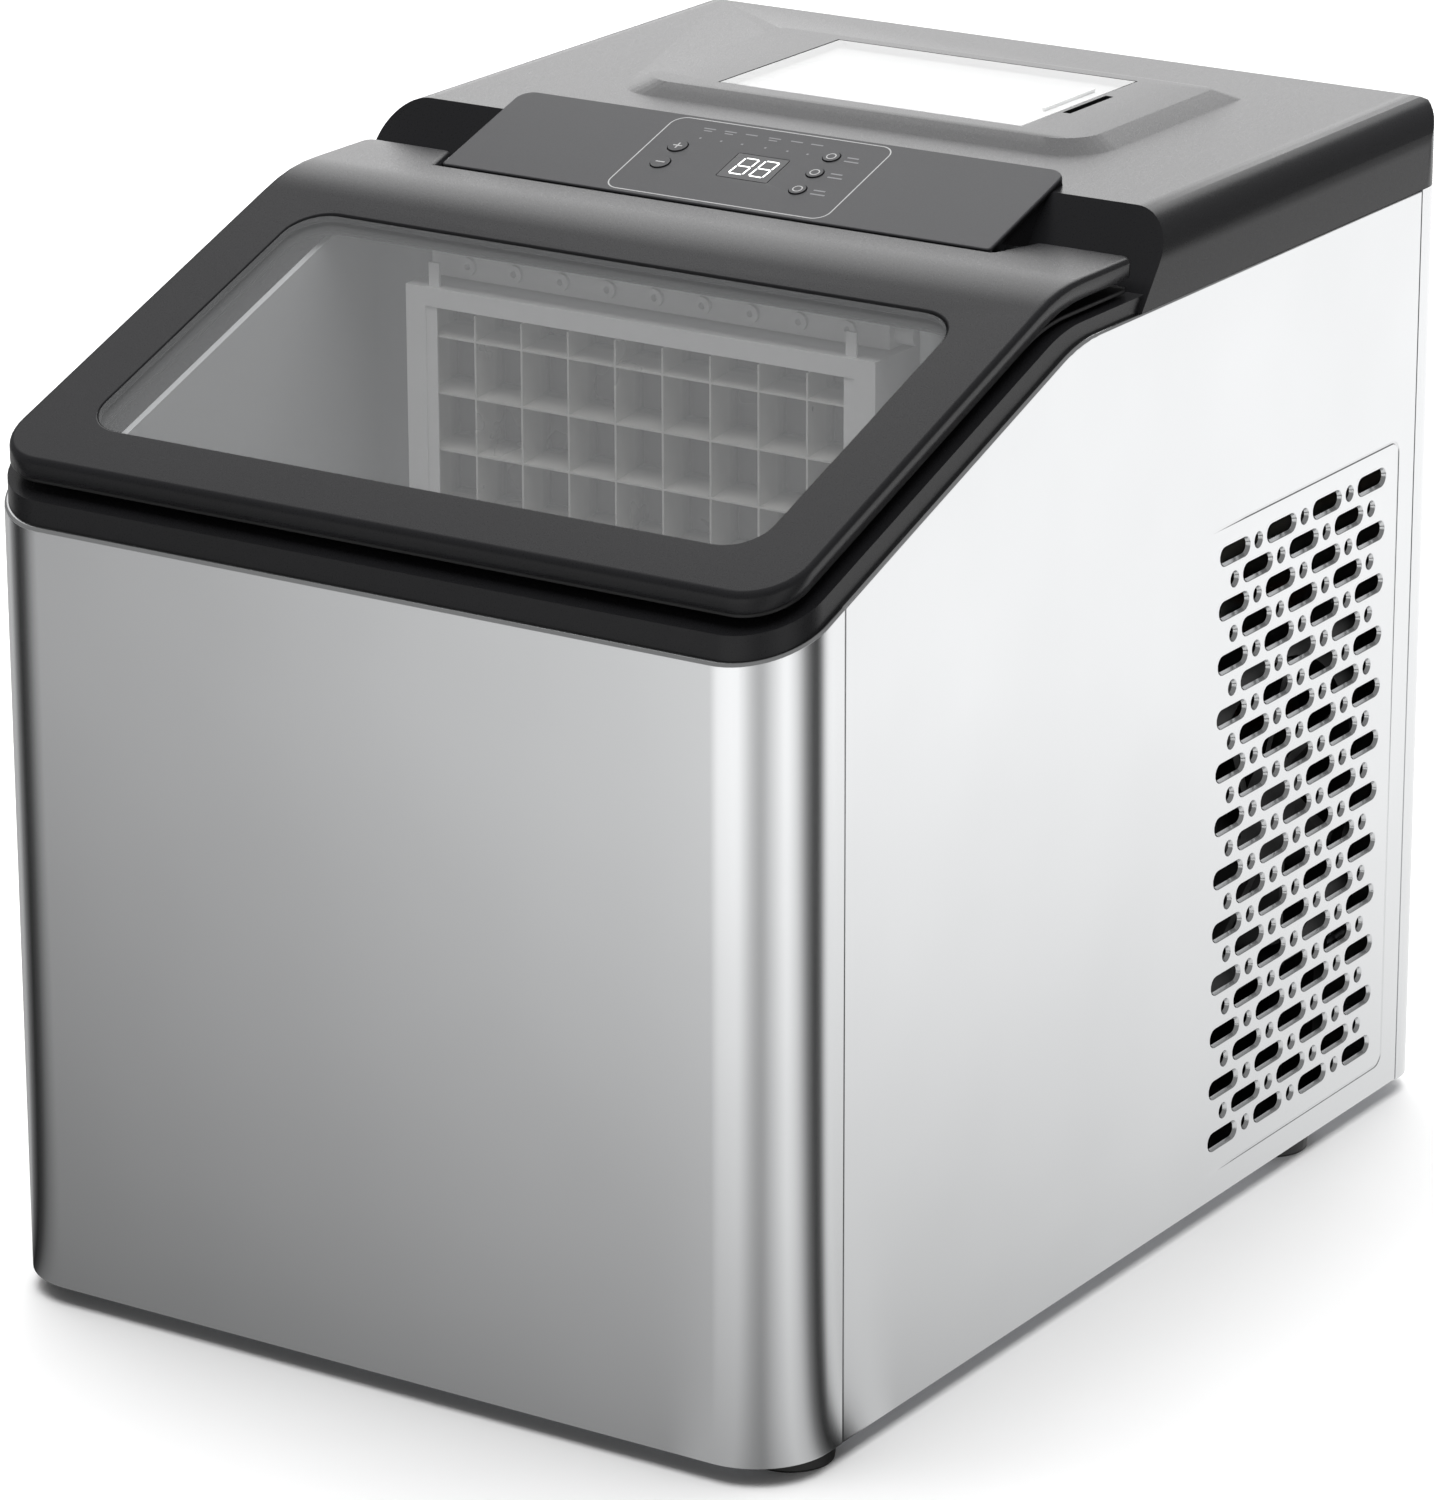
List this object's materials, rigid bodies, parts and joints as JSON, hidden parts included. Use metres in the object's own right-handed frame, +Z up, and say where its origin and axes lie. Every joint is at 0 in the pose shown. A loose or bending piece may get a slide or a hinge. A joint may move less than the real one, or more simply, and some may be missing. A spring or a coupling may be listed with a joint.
{
  "type": "ice maker",
  "caption": "Countertop ice maker: steel casing with side vents, sloping hinged lid with a clear window over the ice grid, control panel, and a top-filled water tank.",
  "frame": {"origin": "on the table under the middle of the body", "axes": "+X to the right seen from the front, +Y to the rear, +Z up"},
  "size_m": [0.265, 0.365, 0.3142],
  "materials": {
    "steel": "brushed vertical grain, satin",
    "zinc": "zinc plated sheet",
    "dark_plastic": "fine texture, satin",
    "panel_plastic": "satin",
    "black_plastic": "matt",
    "clear": "clear plastic with a light grey tint",
    "tank_clear": "clear plastic",
    "display": "gloss",
    "white_plastic": "semi gloss",
    "liner_plastic": "semi gloss",
    "foam": "expanded polystyrene",
    "rubber": "matt",
    "silicone": "milky silicone hose",
    "nickel": "nickel plated",
    "copper": "copper tube",
    "aluminium": "thin fins",
    "compressor_paint": "black enamel",
    "board": "green circuit board",
    "screw": "zinc plated"
  },
  "bodies": {
    "cabinet": {"base_pan": "zinc", "feet": "rubber", "foot_screws": "screw", "front_panel": "steel", "right_panel": "steel", "left_panel": "steel", "rear_panel": "steel", "panel_screws": "screw", "service_cup": "black_plastic", "top_cover": "dark_plastic", "hinge_pins": "screw", "control_panel": "panel_plastic", "display_lens": "display", "display_module": "black_plastic", "control_board": "board", "water_tank": "white_plastic", "bin_liner": "liner_plastic", "insulation": "foam", "evaporator_frame": "white_plastic", "ice_grid": "nickel", "evaporator_coil": "copper", "water_bar": "white_plastic", "water_pump": "black_plastic", "pump_hose": "silicone", "tank_hose": "silicone", "ice_sensors": "black_plastic", "drain_pipe": "black_plastic", "compressor": "compressor_paint", "compressor_mounts": "rubber", "condenser_fins": "aluminium", "condenser_tube": "copper", "refrigerant_pipes": "copper", "filter_drier": "copper", "hot_gas_valve": "black_plastic", "fan_shroud": "black_plastic", "fan_motor": "black_plastic", "power_board": "board", "cord_gland": "black_plastic"},
    "lid": {"lid_frame": "dark_plastic", "lid_window": "clear", "lid_inner_frame": "black_plastic", "lid_seal": "rubber"},
    "tank_lid": {"tank_lid": "tank_clear"},
    "plus_button": {"plus_button": "panel_plastic"},
    "minus_button": {"minus_button": "panel_plastic"},
    "clean_button": {"clean_button": "panel_plastic"},
    "size_button": {"size_button": "panel_plastic"},
    "power_button": {"power_button": "panel_plastic"},
    "fan_rotor": {"fan_rotor": "black_plastic"},
    "ice_basket": {"ice_basket": "white_plastic"},
    "drain_plug": {"drain_plug": "rubber"}
  },
  "joints": [
    {"name": "lid_hinge", "type": "hinge", "parent": "cabinet", "child": "lid", "pos_m": [0, -0.0028, 0.2975], "axis": [-1, 0, 0], "range_deg": [0, 105]},
    {"name": "tank_lid_hinge", "type": "hinge", "parent": "cabinet", "child": "tank_lid", "pos_m": [-0.0495, 0.104, 0.31175], "axis": [0, -1, 0], "range_deg": [0, 110]},
    {"name": "fan_spin", "type": "hinge", "parent": "cabinet", "child": "fan_rotor", "pos_m": [0.1195, 0.09711, 0.1112], "axis": [1, 0, 0], "continuous": true},
    {"name": "basket_lift", "type": "slide", "parent": "cabinet", "child": "ice_basket", "axis": [0, 0, 1], "range_m": [0, 0.05]},
    {"name": "plug_pull", "type": "slide", "parent": "cabinet", "child": "drain_plug", "axis": [0, 1, 0], "range_m": [0, 0.006]},
    {"name": "plus_press", "type": "slide", "parent": "cabinet", "child": "plus_button", "axis": [0, 0.3024, -0.9532], "range_m": [0, 0.0007], "stiffness_N_per_m": 600, "springref_m": -0.0003},
    {"name": "minus_press", "type": "slide", "parent": "cabinet", "child": "minus_button", "axis": [0, 0.3024, -0.9532], "range_m": [0, 0.0007], "stiffness_N_per_m": 600, "springref_m": -0.0003},
    {"name": "clean_press", "type": "slide", "parent": "cabinet", "child": "clean_button", "axis": [0, 0.3024, -0.9532], "range_m": [0, 0.0007], "stiffness_N_per_m": 600, "springref_m": -0.0003},
    {"name": "size_press", "type": "slide", "parent": "cabinet", "child": "size_button", "axis": [0, 0.3024, -0.9532], "range_m": [0, 0.0007], "stiffness_N_per_m": 600, "springref_m": -0.0003},
    {"name": "power_press", "type": "slide", "parent": "cabinet", "child": "power_button", "axis": [0, 0.3024, -0.9532], "range_m": [0, 0.0007], "stiffness_N_per_m": 600, "springref_m": -0.0003}
  ]
}
